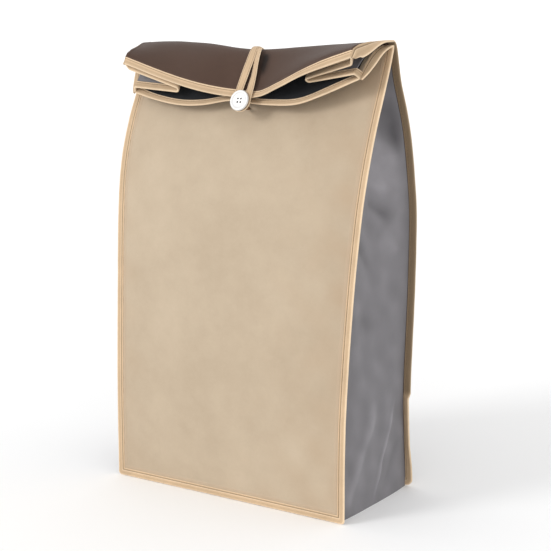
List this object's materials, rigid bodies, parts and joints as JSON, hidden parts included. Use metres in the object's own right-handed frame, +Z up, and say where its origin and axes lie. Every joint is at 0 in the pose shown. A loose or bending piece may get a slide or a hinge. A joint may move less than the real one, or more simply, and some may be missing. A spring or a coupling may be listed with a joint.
{
  "type": "fabric storage bag",
  "caption": "Upright fabric storage bag for potatoes, filled and shut: two bound panels, a grey gusset and a folded top held by a tape loop over a button.",
  "frame": {"origin": "middle of the base, on the surface that the bag stands on", "axes": "+Z up, -Y out of the front panel that the top folds over, +X to the right seen from the front"},
  "size_m": [0.2848, 0.1386, 0.4431],
  "materials": {
    "front_cloth": "matt plain weave, beige",
    "back_cloth": "matt plain weave, dark brown",
    "gusset_cloth": "matt plain weave, mid grey",
    "lining": "matt, near black",
    "tape": "folded cotton tape, tan, stitched",
    "thread": "wound thread, brown",
    "button": "polished, white"
  },
  "bodies": {
    "root": {"gusset_body": "gusset_cloth", "front_panel": "front_cloth", "back_panel": "back_cloth", "lining_front": "lining", "lining_back": "lining", "gusset_tuck_right": "gusset_cloth", "gusset_tuck_left": "gusset_cloth", "front_edge_binding": "tape", "back_edge_binding": "tape", "rim_binding": "tape", "closure_loop": "tape", "button_stem": "thread", "button": "button"}
  },
  "joints": []
}
